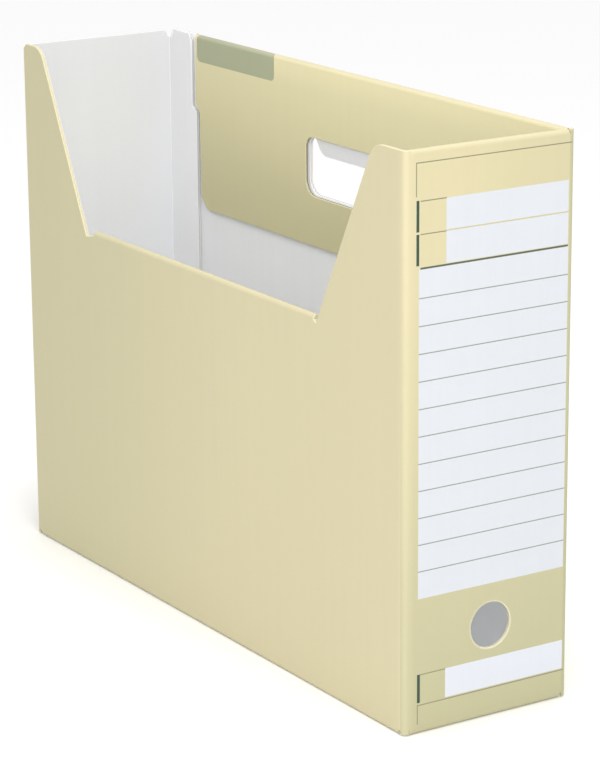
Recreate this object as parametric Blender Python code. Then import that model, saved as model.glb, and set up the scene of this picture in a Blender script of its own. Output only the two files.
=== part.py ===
"""File box folded from one die-cut blank of thin corrugated board.

Four upright panels stand round an open compartment: the spine at -Y, the left side at -X with its
sloping cut-out, the right side at +X with the hand hole, and the end panel at +Y. Every panel and
flap is the stretch of board between two creases. It is drawn flat, as it lies in the blank, and then
bent along the creases, so a panel and the flap that continues it follow one and the same path.

The origin is the middle of the footprint, on the surface that the box stands on. Metres, +Z up.
"""
import math
from collections import namedtuple

import bmesh
import bpy
from mathutils import Matrix, Vector

mm = 0.001

# Outside of the folded box
width = 102.0 * mm
depth = 391.6 * mm
height = 298.5 * mm
end_panel_drop = 0.8 * mm

# Board and its creases
board = 2.0 * mm
crease_gap = 0.3 * mm
glue_line = 0.3 * mm
corner_radius = 2.8 * mm
bottom_radius = 2.6 * mm
rim_radius = 2.1 * mm

# Reliefs that free the creases where two of them meet at a corner of the box
corner_notch = 3.1 * mm
corner_notch_height = 2.8 * mm
rim_slit = 0.8 * mm
rim_slit_depth = 0.5 * mm
top_corner_round = 1.2 * mm

# Cut-out in the left side, which slopes a little less steeply at the front than at the rear
cutout_floor = 201.4 * mm
cutout_front_shoulder = 26.8 * mm
cutout_front_run = 52.3 * mm
cutout_rear_shoulder = 22.0 * mm
cutout_rear_run = 50.1 * mm
cutout_round = 12.0 * mm
cutout_front_notch = 2.4 * mm
cutout_rear_notch = 8.5 * mm
cutout_notch_floor = 4.2 * mm
cutout_notch_depth = 3.8 * mm
left_rim_length = 32.0 * mm
left_rim_taper = 10.0 * mm

# Top edge of the spine and its finger hole
spine_rim_length = 28.0 * mm
spine_rim_inset = 16.0 * mm
spine_rim_taper = 1.5 * mm
finger_hole_radius = 12.2 * mm
finger_hole_offset = 2.1 * mm
finger_hole_height = 49.4 * mm

# Flap folded over the top edge of the right side, and the relief notch behind its crease
fold_over_length = 103.1 * mm
fold_over_rear_inset = 31.9 * mm
fold_over_front_inset = 5.3 * mm
fold_over_step = 4.0 * mm
fold_over_step_drop = 41.5 * mm
fold_over_step_height = 4.0 * mm
fold_over_taper = 1.0 * mm
fold_over_rear_chamfer = 6.3 * mm
fold_over_rear_chamfer_height = 6.4 * mm
fold_over_front_chamfer = 40.7 * mm
fold_over_front_chamfer_height = 17.0 * mm
crown_notch = 3.0 * mm
crown_notch_depth = 2.3 * mm

# Hand hole, a little larger in the inner layer, and the tongue hinged at its top edge
hand_hole_half_length = 43.1 * mm
hand_hole_height = 32.6 * mm
hand_hole_top_below_rim = 41.3 * mm
hand_hole_top_round = 6.0 * mm
hand_hole_bottom_round = 9.0 * mm
hand_hole_margin = 0.6 * mm
hand_hole_margin_below = 0.7 * mm
tongue_length = 10.8 * mm
tongue_round = 4.5 * mm
tongue_hang = math.radians(22.0)

# Glue flap, bonded to the inner face of the right side
glue_flap_reach = 32.1 * mm
glue_flap_step = 5.2 * mm
glue_flap_step_drop = 43.0 * mm
glue_flap_step_height = 3.4 * mm
glue_flap_foot = 8.0 * mm
glue_flap_foot_chamfer = 12.0 * mm
glue_flap_top_chamfer = 2.4 * mm
glue_flap_top_chamfer_height = 4.2 * mm
glue_notch_width = 7.0 * mm
glue_notch_depth = 3.7 * mm

# Bottom flaps. Those of the long walls meet in the middle, under the dust flaps of the narrow walls.
major_flap_gap = 0.6 * mm
dust_flap_reach_share = 0.39
dust_flap_inset = 4.0 * mm
dust_flap_taper_share = 2.2
bottom_flap_end_inset = 14.0 * mm
bottom_flap_root = 2.6 * mm
bottom_flap_round = 6.0 * mm
jog_start = 3.0 * mm
jog_outer_radius = 2.5 * mm
jog_inner_radius = 0.5 * mm
jog_angle = math.radians(30.0)

# Fineness of the curves
facet_angle = math.radians(15.0)
hole_steps = 40
snap_distance = 0.001 * mm

quarter_turn = math.pi / 2
eighth_turn = math.pi / 4
half_width = width / 2
half_depth = depth / 2
layer_pitch = board + crease_gap

# A fold starts on the line where coordinate "axis" (0 along the panel, 1 up it) reaches "at", and
# lies on the side of it that "sign" gives, between the other coordinate's "low" and "high".
# Its bends are (start, radius, angle), with start and radius measured on the outer face.
Fold = namedtuple("Fold", "axis sign at bends low high")

everywhere = depth + height


def travel(bends, distance):
    """Run, depth and heading after a distance along the outer face of a bent strip."""
    run = 0.0
    sunk = 0.0
    heading = 0.0
    done = 0.0
    for start, radius, angle in bends:
        if distance <= start:
            break
        run += (start - done) * math.cos(heading)
        sunk += (start - done) * math.sin(heading)
        side = math.copysign(1.0, angle)
        turned = side * min((distance - start) / radius, abs(angle))
        run += side * radius * (math.sin(heading + turned) - math.sin(heading))
        sunk += side * radius * (math.cos(heading) - math.cos(heading + turned))
        heading += turned
        done = start + radius * abs(turned)
    run += (distance - done) * math.cos(heading)
    sunk += (distance - done) * math.sin(heading)
    return run, sunk, heading


def bends_length(bends):
    """Distance along the outer face to the end of the last bend."""
    start, radius, angle = bends[-1]
    return start + radius * abs(angle)


def length_to_depth(bends, reach):
    """Distance along the outer face at which a strip that heads inwards is "reach" deep."""
    end = bends_length(bends)
    return end + reach - travel(bends, end)[1]


def bent(point, folds):
    """Place of a point of the blank on the outer face, and the board's inward normal there."""
    place = [point[0], point[1], 0.0]
    normal = [0.0, 0.0, 1.0]
    for fold in folds:
        beyond = fold.sign * (point[fold.axis] - fold.at)
        along = point[1 - fold.axis]
        if beyond > snap_distance and fold.low - snap_distance < along < fold.high + snap_distance:
            run, sunk, heading = travel(fold.bends, beyond)
            place[fold.axis] = fold.at + fold.sign * run
            place[2] = sunk
            normal[fold.axis] = -fold.sign * math.sin(heading)
            normal[2] = math.cos(heading)
    return Vector(place), Vector(normal)


def fold_lines(folds):
    """Lines across the blank where its facets meet, as (axis, value) pairs."""
    lines = []
    for fold in folds:
        for start, radius, angle in fold.bends:
            steps = max(2, round(abs(angle) / facet_angle))
            for step in range(steps + 1):
                distance = start + radius * abs(angle) * step / steps
                lines.append((fold.axis, fold.at + fold.sign * distance))
    return lines


def rounded(corners):
    """Outline with each corner (u, v, radius) replaced by an arc of that radius."""
    points = []
    for index, (u, v, radius) in enumerate(corners):
        corner = Vector((u, v))
        if not radius:
            points.append(corner)
            continue
        before = (Vector(corners[index - 1][:2]) - corner).normalized()
        after = (Vector(corners[(index + 1) % len(corners)][:2]) - corner).normalized()
        half_angle = before.angle(after) / 2
        centre = corner + (before + after).normalized() * radius / math.sin(half_angle)
        first = corner + before * radius / math.tan(half_angle) - centre
        last = corner + after * radius / math.tan(half_angle) - centre
        swing = first.angle_signed(last)
        steps = max(2, round(abs(swing) / facet_angle))
        for step in range(steps + 1):
            points.append(centre + Matrix.Rotation(-swing * step / steps, 2) @ first)
    return points


def mirrored(half, middle=0.0):
    """Closed outline from the corners of its half at larger u, listed from bottom to top."""
    other = [(2 * middle - u, v, radius) for u, v, radius in reversed(half)]
    return half + other


def circle(centre_u, centre_v, radius):
    """Points of a round hole."""
    angles = [2 * math.pi * step / hole_steps for step in range(hole_steps)]
    return [Vector((centre_u + radius * math.cos(a), centre_v + radius * math.sin(a))) for a in angles]


def add_loop(mesh, points):
    """Closed loop of edges through the points, in the plane of the blank."""
    verts = [mesh.verts.new((point[0], point[1], 0.0)) for point in points]
    return [mesh.edges.new((verts[i - 1], verts[i])) for i in range(len(verts))]


def bend_sheet(outline, holes, folds):
    """Solid of board: the flat outline, cut along the fold lines, bent and given its thickness."""
    flat = bmesh.new()
    edges = add_loop(flat, outline)
    for hole in holes:
        edges += add_loop(flat, hole)
    bmesh.ops.triangle_fill(flat, edges=edges, use_beauty=True)
    for axis, value in fold_lines(folds):
        place = Vector((0.0, 0.0, 0.0))
        direction = Vector((0.0, 0.0, 0.0))
        place[axis] = value
        direction[axis] = 1.0
        everything = flat.verts[:] + flat.edges[:] + flat.faces[:]
        bmesh.ops.bisect_plane(flat, geom=everything, dist=snap_distance, plane_co=place,
                               plane_no=direction)
    for face in flat.faces:
        if face.calc_center_median().z == 0.0 and face.normal.z < 0:
            face.normal_flip()

    solid = bmesh.new()
    outer = {}
    inner = {}
    for vert in flat.verts:
        place, normal = bent(vert.co, folds)
        within = place + normal * board
        outer[vert] = solid.verts.new((place.x, place.y, -place.z))
        inner[vert] = solid.verts.new((within.x, within.y, -within.z))
    for face in flat.faces:
        solid.faces.new([outer[vert] for vert in face.verts])
        solid.faces.new([inner[vert] for vert in reversed(face.verts)])
    for edge in flat.edges:
        if len(edge.link_loops) == 1:
            start = edge.link_loops[0].vert
            end = edge.other_vert(start)
            solid.faces.new((outer[end], outer[start], inner[start], inner[end]))
    flat.free()
    bmesh.ops.triangulate(solid, faces=[face for face in solid.faces if len(face.verts) > 3])
    return solid


def finish_material(name, colour, roughness):
    """Board surface with one colour."""
    material = bpy.data.materials.new(name)
    material.use_nodes = True
    shader = material.node_tree.nodes["Principled BSDF"]
    shader.inputs["Base Color"].default_value = (*colour, 1.0)
    shader.inputs["Roughness"].default_value = roughness
    shader.inputs["Metallic"].default_value = 0.0
    material.diffuse_color = (*colour, 1.0)
    return material


world_of = {}


def add_piece(name, frame, outline, folds, pivot, parent, material, holes=(), hang=0.0):
    """Piece of board in its wall's frame, with its origin on its crease and hung on its parent."""
    solid = bend_sheet(outline, holes, folds)
    at_pivot = Matrix.Translation(pivot) @ frame.to_3x3().to_4x4()
    solid.transform(at_pivot.inverted() @ frame)
    mesh = bpy.data.meshes.new(name)
    solid.to_mesh(mesh)
    solid.free()
    mesh.materials.append(material)
    mesh.shade_smooth()
    mesh.set_sharp_from_angle(angle=math.radians(30.0))
    piece = bpy.data.objects.new(name, mesh)
    bpy.context.scene.collection.objects.link(piece)
    world_of[name] = at_pivot @ Matrix.Rotation(hang, 4, "X")
    if parent:
        piece.parent = bpy.data.objects[parent]
        piece.matrix_basis = world_of[parent].inverted() @ world_of[name]
    else:
        piece.matrix_basis = world_of[name]
    return piece


for leftover in list(bpy.data.objects):
    bpy.data.objects.remove(leftover)

cream = finish_material("cream_board", (0.72, 0.66, 0.43), 0.55)
cream_inside = finish_material("cream_flap", (0.60, 0.56, 0.34), 0.55)
white = finish_material("white_board", (0.76, 0.76, 0.75), 0.6)


def wall_frame(x, y, turn):
    """Frame of a wall: u along it, v up it, and its outward normal."""
    return Matrix.Translation((x, y, 0.0)) @ Matrix.Rotation(turn, 4, "Z") @ Matrix.Rotation(quarter_turn, 4, "X")


spine_frame = wall_frame(0.0, -half_depth, 0.0)
right_frame = wall_frame(half_width, 0.0, quarter_turn)
end_frame = wall_frame(0.0, half_depth, math.pi)
left_frame = wall_frame(-half_width, 0.0, -quarter_turn)

# Creases at the upright corners. Two neighbours each hold half of the bend between them.
corner_bend = [(0.0, corner_radius, quarter_turn)]
half_corner = corner_radius * eighth_turn - crease_gap / 2
outer_mid = corner_radius * (1 - math.cos(eighth_turn))
inner_mid = corner_radius - (corner_radius - board) * math.cos(eighth_turn)
lap = board + glue_line

# The walls fold flat about three corners, which stay corners of a parallelogram with the fourth. One
# that opens turns about the outer face, and one that closes turns about the inner face.
front_right = Vector((half_width - outer_mid, outer_mid - half_depth, height / 2))
front_left = Vector((inner_mid - half_width, inner_mid - half_depth, height / 2))
back_right = Vector((half_width - lap - inner_mid, half_depth - inner_mid, height / 2))

# Rims: the board turns over the top in two quarter bends, with the crease between them
quarter_rim = rim_radius * quarter_turn
rim_bends = [(0.0, rim_radius, quarter_turn), (quarter_rim + crease_gap, rim_radius, quarter_turn)]
rim_centre = rim_radius + crease_gap / 2
rim_flap_start = quarter_rim + crease_gap


def rim_fold(top, low, high):
    """Fold over a top edge that lies at the given height."""
    return Fold(1, 1, top - rim_radius, rim_bends, low, high)


def below_rim(top, drop):
    """Place up the blank of a line that hangs the given drop below the rim, inside."""
    return top - rim_radius + bends_length(rim_bends) + drop - rim_radius


# Bottom creases, with the jog that lifts the dust flaps on to the long walls' flaps
half_bottom = bottom_radius * eighth_turn - crease_gap / 2
bottom_mid = bottom_radius * (1 - math.cos(eighth_turn))


def jogged(bends):
    """Bends of a strip, followed by the jog that lifts it by one layer."""
    in_arcs = (jog_outer_radius + jog_inner_radius) * (1 - math.cos(jog_angle))
    slope = (layer_pitch - in_arcs) / math.sin(jog_angle)
    lifting = bends + [(length_to_depth(bends, jog_start), jog_outer_radius, jog_angle)]
    return lifting + [(bends_length(lifting) + slope, jog_inner_radius, -jog_angle)]


major_bends = [(0.0, bottom_radius, quarter_turn)]
dust_bends = jogged(major_bends)


def bottom_fold(bends, low, high):
    """Fold at a wall's foot."""
    return Fold(1, -1, bottom_radius, bends, low, high)


flap_crease = bottom_radius - bottom_radius * eighth_turn - crease_gap / 2
flap_turned = bottom_radius - bottom_radius * quarter_turn
major_flap_root = bottom_radius - length_to_depth(major_bends, bottom_flap_root)
major_flap_edge = bottom_radius - length_to_depth(major_bends, half_width - major_flap_gap / 2)
major_flap_outline = rounded(mirrored([
    (half_depth - bottom_flap_end_inset, major_flap_edge, bottom_flap_round),
    (half_depth - bottom_flap_end_inset, major_flap_root, 0.0),
    (half_depth - corner_notch, flap_turned, 0.0),
    (half_depth - corner_notch, flap_crease, 0.0),
]))
major_folds = [bottom_fold(major_bends, -everywhere, everywhere)]
dust_folds = [bottom_fold(dust_bends, -everywhere, everywhere)]


def dust_flap(half_length):
    """Half outline of a bottom flap of a narrow wall, tapered to clear the long walls' flaps."""
    reach = dust_flap_reach_share * half_width
    free_edge = bottom_radius - length_to_depth(dust_bends, reach)
    taper = dust_flap_taper_share * (reach - bottom_radius)
    return [
        (half_length - dust_flap_inset - taper, free_edge, bottom_flap_round / 2),
        (half_length - dust_flap_inset, flap_turned, 0.0),
        (half_length - dust_flap_inset, flap_crease, 0.0),
    ]


# Right side, the wall that carries the hand hole. Its rear edge is cut, and laps the end panel's bend.
crease_rear = half_depth - fold_over_rear_inset
crease_front = fold_over_front_inset - half_depth
rim_line = height - rim_radius
rim_top = rim_line + quarter_rim
slit_floor = rim_line - rim_slit_depth
right_front_edge = corner_radius - half_depth - half_corner
right_foot = bottom_radius - half_bottom
hole_top = height - hand_hole_top_below_rim
hole_bottom = hole_top - hand_hole_height

right_folds = [
    Fold(0, -1, corner_radius - half_depth, corner_bend, -everywhere, everywhere),
    bottom_fold(major_bends, corner_notch - half_depth, half_depth - corner_notch),
    rim_fold(height, crease_front, crease_rear),
]
right_outline = rounded([
    (corner_notch - half_depth, right_foot, 0.0),
    (half_depth - corner_notch, right_foot, 0.0),
    (half_depth - corner_notch, corner_notch_height, 0.0),
    (half_depth, corner_notch_height, 0.0),
    (half_depth, height, top_corner_round),
    (crease_rear + crown_notch, height, 0.0),
    (crease_rear + crown_notch, height - crown_notch_depth, 0.0),
    (crease_rear, height - crown_notch_depth, 0.0),
    (crease_rear, rim_top, 0.0),
    (crease_front, rim_top, 0.0),
    (crease_front, slit_floor, 0.0),
    (crease_front - rim_slit, slit_floor, 0.0),
    (crease_front - rim_slit, height, 0.0),
    (right_front_edge, height, 0.0),
    (right_front_edge, corner_notch_height, 0.0),
    (corner_notch - half_depth, corner_notch_height, 0.0),
])
hand_hole = rounded([
    (-hand_hole_half_length, hole_bottom, hand_hole_bottom_round),
    (hand_hole_half_length, hole_bottom, hand_hole_bottom_round),
    (hand_hole_half_length, hole_top, hand_hole_top_round),
    (-hand_hole_half_length, hole_top, hand_hole_top_round),
])
root_pivot = Vector((half_width, 0.0, 0.0))
add_piece("right_side", right_frame, right_outline, right_folds, root_pivot, None, cream, [hand_hole])

# Flap folded over the right side's top edge. Its corners are cut so that it swings past the left side.
fold_over_folds = [rim_fold(height, -everywhere, everywhere)]
fold_over_start = rim_line + rim_flap_start
fold_over_end = below_rim(height, fold_over_length)
stepped_rear = crease_rear - fold_over_step
inner_hole_top = below_rim(height, hand_hole_top_below_rim)
inner_hole_bottom = below_rim(height, hand_hole_top_below_rim + hand_hole_height + hand_hole_margin_below)
inner_hole_half = hand_hole_half_length + hand_hole_margin
fold_over_outline = rounded([
    (crease_front, fold_over_start, 0.0),
    (crease_rear, fold_over_start, 0.0),
    (crease_rear, below_rim(height, fold_over_step_drop), 0.0),
    (stepped_rear, below_rim(height, fold_over_step_drop + fold_over_step_height), 0.0),
    (stepped_rear - fold_over_taper, fold_over_end - fold_over_rear_chamfer_height, 0.0),
    (stepped_rear - fold_over_taper - fold_over_rear_chamfer, fold_over_end, 0.0),
    (crease_front + fold_over_front_chamfer, fold_over_end, 0.0),
    (crease_front, fold_over_end - fold_over_front_chamfer_height, 0.0),
])
inner_hole = rounded([
    (-inner_hole_half, inner_hole_top, hand_hole_top_round),
    (inner_hole_half, inner_hole_top, hand_hole_top_round),
    (inner_hole_half, inner_hole_bottom, hand_hole_bottom_round),
    (-inner_hole_half, inner_hole_bottom, hand_hole_bottom_round),
])
fold_over_pivot = Vector((half_width - rim_centre, 0.0, height))
add_piece("fold_over_flap", right_frame, fold_over_outline, fold_over_folds, fold_over_pivot,
          "right_side", cream_inside, [inner_hole])

# Tongue left in the hand hole, hinged along the hole's top edge and hanging a little outwards
tongue_half = hand_hole_half_length - hand_hole_top_round
tongue_top = hole_top - crease_gap
tongue_outline = rounded([
    (-tongue_half, tongue_top - tongue_length, tongue_round),
    (tongue_half, tongue_top - tongue_length, tongue_round),
    (tongue_half, tongue_top, 0.0),
    (-tongue_half, tongue_top, 0.0),
])
tongue_pivot = Vector((half_width, 0.0, hole_top - crease_gap / 2))
add_piece("hand_hole_tongue", right_frame, tongue_outline, [], tongue_pivot, "right_side", white,
          hang=-tongue_hang)

# Right half of the bottom, on which the box stands
right_flap_pivot = Vector((half_width - bottom_mid, 0.0, bottom_mid))
add_piece("bottom_flap_right", right_frame, major_flap_outline, major_folds, right_flap_pivot, "right_side",
          cream)

# Spine, the narrow front wall with the finger hole
spine_edge = half_width - corner_radius + half_corner
spine_rim_edge = half_width - corner_radius - rim_slit
spine_folds = [
    Fold(0, -1, corner_radius - half_width, corner_bend, -everywhere, everywhere),
    Fold(0, 1, half_width - corner_radius, corner_bend, -everywhere, everywhere),
    bottom_fold(dust_bends, corner_notch - half_width, half_width - corner_notch),
    rim_fold(height, -spine_rim_edge, spine_rim_edge),
]
spine_half = [
    (half_width - corner_notch, bottom_radius - half_bottom, 0.0),
    (half_width - corner_notch, corner_notch_height, 0.0),
    (spine_edge, corner_notch_height, 0.0),
    (spine_edge, height, 0.0),
    (spine_rim_edge + rim_slit, height, 0.0),
    (spine_rim_edge + rim_slit, slit_floor, 0.0),
    (spine_rim_edge, slit_floor, 0.0),
    (spine_rim_edge, rim_top, 0.0),
]
finger_hole = circle(finger_hole_offset, finger_hole_height, finger_hole_radius)
add_piece("spine", spine_frame, rounded(mirrored(spine_half)), spine_folds, front_right,
          "right_side", cream, [finger_hole])

# Flap folded down inside the spine's top edge
spine_rim_half = half_width - spine_rim_inset
spine_rim_end = below_rim(height, spine_rim_length)
spine_rim_outline = rounded(mirrored([
    (spine_rim_half, rim_line + rim_flap_start, 0.0),
    (spine_rim_half - spine_rim_taper, spine_rim_end, bottom_flap_round),
]))
spine_rim_pivot = Vector((0.0, rim_centre - half_depth, height))
add_piece("spine_rim_flap", spine_frame, spine_rim_outline, [rim_fold(height, -everywhere, everywhere)],
          spine_rim_pivot, "spine", cream_inside)

# Dust flap at the spine's foot, on top of the long walls' flaps
front_dust_pivot = Vector((0.0, bottom_mid - half_depth, bottom_mid))
add_piece("bottom_flap_spine", spine_frame, rounded(mirrored(dust_flap(half_width))),
          dust_folds, front_dust_pivot, "spine", cream)

# Left side, the wall with the sloping cut-out. The cut-out's floor is a folded rim.
cutout_front_mouth = half_depth - cutout_front_shoulder
cutout_front_base = cutout_front_mouth - cutout_front_run
cutout_rear_mouth = half_depth - cutout_rear_shoulder
cutout_rear_base = cutout_rear_mouth - cutout_rear_run
rim_front = cutout_front_base - cutout_front_notch
rim_rear = cutout_rear_notch - cutout_rear_base
notch_floor = cutout_floor - cutout_notch_depth
left_edge = half_depth - corner_radius + half_corner
left_folds = [
    Fold(0, -1, corner_radius - half_depth, corner_bend, -everywhere, everywhere),
    Fold(0, 1, half_depth - corner_radius, corner_bend, -everywhere, everywhere),
    bottom_fold(major_bends, corner_notch - half_depth, half_depth - corner_notch),
    rim_fold(cutout_floor, rim_rear, rim_front),
]
left_outline = rounded([
    (corner_notch - half_depth, bottom_radius - half_bottom, 0.0),
    (half_depth - corner_notch, bottom_radius - half_bottom, 0.0),
    (half_depth - corner_notch, corner_notch_height, 0.0),
    (left_edge, corner_notch_height, 0.0),
    (left_edge, height, top_corner_round),
    (cutout_front_mouth, height, cutout_round),
    (cutout_front_base, notch_floor, 0.0),
    (rim_front, cutout_floor - rim_radius, 0.0),
    (rim_front, cutout_floor - rim_radius + quarter_rim, 0.0),
    (rim_rear, cutout_floor - rim_radius + quarter_rim, 0.0),
    (rim_rear, cutout_floor - rim_radius, 0.0),
    (cutout_notch_floor - cutout_rear_base, notch_floor, 0.0),
    (-cutout_rear_base, notch_floor, 0.0),
    (-cutout_rear_mouth, height, cutout_round),
    (-left_edge, height, top_corner_round),
    (-left_edge, corner_notch_height, 0.0),
    (corner_notch - half_depth, corner_notch_height, 0.0),
])
add_piece("left_side", left_frame, left_outline, left_folds, front_left, "spine", cream)

# Flap folded down inside the cut-out's floor
left_rim_end = below_rim(cutout_floor, left_rim_length)
left_rim_outline = rounded([
    (rim_rear, cutout_floor - rim_radius + rim_flap_start, 0.0),
    (rim_front, cutout_floor - rim_radius + rim_flap_start, 0.0),
    (rim_front - left_rim_taper, left_rim_end, bottom_flap_round),
    (rim_rear + left_rim_taper, left_rim_end, bottom_flap_round),
])
left_rim_pivot = Vector((rim_centre - half_width, 0.0, cutout_floor))
add_piece("left_rim_flap", left_frame, left_rim_outline, [rim_fold(cutout_floor, -everywhere, everywhere)],
          left_rim_pivot, "left_side", cream_inside)

# Left half of the bottom, on which the box stands
left_flap_pivot = Vector((bottom_mid - half_width, 0.0, bottom_mid))
add_piece("bottom_flap_left", left_frame, major_flap_outline, major_folds, left_flap_pivot, "left_side",
          cream)

# End panel, the narrow rear wall. Its bend beside the right side turns into the glue flap.
end_near = lap - half_width
end_middle = lap / 2
end_top = height - end_panel_drop
end_notch_top = height - glue_notch_depth
end_folds = [
    Fold(0, -1, end_near + corner_radius, corner_bend, -everywhere, everywhere),
    Fold(0, 1, half_width - corner_radius, corner_bend, -everywhere, everywhere),
    bottom_fold(dust_bends, end_near + corner_notch, half_width - corner_notch),
]
end_outline = rounded([
    (end_near + corner_notch, bottom_radius - half_bottom, 0.0),
    (half_width - corner_notch, bottom_radius - half_bottom, 0.0),
    (half_width - corner_notch, corner_notch_height, 0.0),
    (spine_edge, corner_notch_height, 0.0),
    (spine_edge, end_top, 0.0),
    (end_near + glue_notch_width / 2, end_top, top_corner_round),
    (end_near + corner_radius, end_notch_top, 0.0),
    (end_near + corner_radius - half_corner, end_notch_top, 0.0),
    (end_near + corner_radius - half_corner, corner_notch_height, 0.0),
    (end_near + corner_notch, corner_notch_height, 0.0),
])
add_piece("end_panel", end_frame, end_outline, end_folds, back_right, "right_side", white)

# Dust flap at the end panel's foot
end_dust_outline = rounded(mirrored(dust_flap(half_width), end_middle))
end_dust_pivot = Vector((-end_middle, half_depth - bottom_mid, bottom_mid))
add_piece("bottom_flap_end", end_frame, end_dust_outline, dust_folds, end_dust_pivot, "end_panel", cream)

# Glue flap: the second half of the end panel's bend and the strip bonded to the right side
bend_end = corner_radius * quarter_turn
glue_start = end_near + corner_radius - corner_radius * eighth_turn - crease_gap / 2
glue_flat = end_near + corner_radius - bend_end
glue_edge = glue_flat - (glue_flap_reach - corner_radius)
glue_outline = rounded([
    (glue_start, corner_notch_height, 0.0),
    (glue_start, end_notch_top, 0.0),
    (glue_flat - glue_notch_width / 2, end_notch_top, 0.0),
    (glue_flat - glue_notch_width / 2, height, 0.0),
    (glue_edge + glue_flap_step + glue_flap_top_chamfer, height, 0.0),
    (glue_edge + glue_flap_step, height - glue_flap_top_chamfer_height, 0.0),
    (glue_edge + glue_flap_step, height - glue_flap_step_drop, 0.0),
    (glue_edge, height - glue_flap_step_drop - glue_flap_step_height, 0.0),
    (glue_edge, glue_flap_foot + glue_flap_foot_chamfer, 0.0),
    (glue_edge + glue_flap_foot_chamfer, glue_flap_foot, 0.0),
    (glue_flat, glue_flap_foot, 0.0),
    (glue_flat, corner_notch_height, 0.0),
])
glue_folds = [Fold(0, -1, end_near + corner_radius, corner_bend, -everywhere, everywhere)]
add_piece("glue_flap", end_frame, glue_outline, glue_folds, root_pivot, "right_side", white)
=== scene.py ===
"""Dressed model of a folding file box: bent board with cut edges and print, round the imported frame."""
import math

import bmesh
import bpy
import numpy as np
from mathutils import Matrix, Vector
from mathutils.geometry import delaunay_2d_cdt


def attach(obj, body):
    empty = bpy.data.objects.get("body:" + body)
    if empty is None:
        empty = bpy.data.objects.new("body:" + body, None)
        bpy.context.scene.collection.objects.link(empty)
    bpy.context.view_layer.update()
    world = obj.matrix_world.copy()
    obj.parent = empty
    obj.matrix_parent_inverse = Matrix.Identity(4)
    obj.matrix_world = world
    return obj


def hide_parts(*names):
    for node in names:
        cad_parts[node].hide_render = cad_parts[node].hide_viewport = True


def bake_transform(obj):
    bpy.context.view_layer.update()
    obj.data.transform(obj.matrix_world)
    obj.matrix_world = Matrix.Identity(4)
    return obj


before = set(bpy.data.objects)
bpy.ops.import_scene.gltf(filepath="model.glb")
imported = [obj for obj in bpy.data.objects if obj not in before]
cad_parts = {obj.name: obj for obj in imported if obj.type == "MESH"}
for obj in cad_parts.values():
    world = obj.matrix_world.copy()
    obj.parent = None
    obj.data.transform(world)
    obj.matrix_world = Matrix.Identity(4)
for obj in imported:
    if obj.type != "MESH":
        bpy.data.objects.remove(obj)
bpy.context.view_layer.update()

# Right side. The tall wall at +X is the root of the box: thin corrugated board, printed cream outside
# and left white inside, die-cut along its rear edge and round the hand hole. It is the first board to
# be drawn, so the folding, cutting and finishing of board are set out here.
mm = 0.001
half_width = 51.0 * mm
half_depth = 195.8 * mm
height = 298.5 * mm
board = 2.0 * mm
corner_radius = 2.8 * mm
foot_radius = 2.6 * mm
rim_radius = 2.1 * mm
rim_gap = 0.3 * mm
seam = 0.2 * mm
quarter = math.pi / 2

# Rounding of a die-cut edge, from the printed face to the plain one: how far each line of the edge
# stands in from the cut, how deep it lies in the board, how much wear and a painted highlight lighten
# it, and the finish that follows.
cut_inset = np.array([0.45, 0.25, 0.1, 0.0, 0.0, 0.07, 0.2, 0.45]) * mm
cut_depth = np.array([0.0, 0.0, 0.09, 0.38, 1.72, 1.93, 2.0, 2.0]) * mm
cut_wear_highlight = np.array([0.0, 0.3, 1.0, 1.0, 1.0, 1.0, 0.4, 0.0])
cut_finish = np.array([0, 0, 0, 1, 2, 2, 2])


def wall(x, y, turn, blank_start):
    """A wall's outer face: its origin, its direction along the blank, its outward normal, and the
    distance that its own zero lies along the blank."""
    along = np.array([math.cos(turn), math.sin(turn), 0.0])
    outward = np.array([math.sin(turn), -math.cos(turn), 0.0])
    return np.array([x, y, 0.0]), along, outward, blank_start


corner_run = corner_radius * quarter
spine_to_side = half_width - corner_radius + corner_run + half_depth - corner_radius
side_to_end = half_depth - corner_radius + corner_run + half_width - corner_radius
spine_wall = wall(0.0, -half_depth, 0.0, 0.0)
right_wall = wall(half_width, 0.0, quarter, spine_to_side)
left_wall = wall(-half_width, 0.0, -quarter, -spine_to_side)
end_wall = wall(0.0, half_depth, math.pi, -spine_to_side - side_to_end)


def travel(bends, distance):
    """Run, depth and heading after a distance along the printed face. Each bend (start, radius, angle)
    adds r (sin(h + a) - sin h) to the run and r (cos h - cos(h + a)) to the depth, and what lies
    between two bends goes straight on along the heading h."""
    run = np.minimum(distance, bends[0][0])
    sunk = np.zeros_like(distance)
    heading = np.zeros_like(distance)
    base = 0.0
    for index, (start, radius, angle) in enumerate(bends):
        side = math.copysign(1.0, angle)
        turned = side * np.clip((distance - start) / radius, 0.0, abs(angle))
        run = run + side * radius * (np.sin(base + turned) - math.sin(base))
        sunk = sunk + side * radius * (math.cos(base) - np.cos(base + turned))
        heading = heading + turned
        base += angle
        done = start + radius * abs(angle)
        following = bends[index + 1][0] if index + 1 < len(bends) else np.inf
        straight = np.clip(distance - done, 0.0, following - done)
        run = run + straight * math.cos(base)
        sunk = sunk + straight * math.sin(base)
    return run, sunk, heading


def bends_end(bends):
    """Distance along the printed face to the end of the last bend."""
    start, radius, angle = bends[-1]
    return start + radius * abs(angle)


def folded(on_wall, fold, flat, depth):
    """World points of blank points (u, v) at a depth in the board. A fold (axis, sign, at, bends) turns
    what lies beyond its line: the point goes to at + sign (run - depth sin h), and its depth becomes
    sunk + depth cos h."""
    origin, along, outward, _ = on_wall
    place = flat.copy()
    if fold:
        axis, sign, at, bends = fold
        run, sunk, heading = travel(bends, sign * (flat[:, axis] - at))
        place[:, axis] = at + sign * (run - depth * np.sin(heading))
        depth = sunk + depth * np.cos(heading)
    up = np.array([0.0, 0.0, 1.0])
    return origin + place[:, :1] * along + place[:, 1:] * up - depth[:, None] * outward


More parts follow.
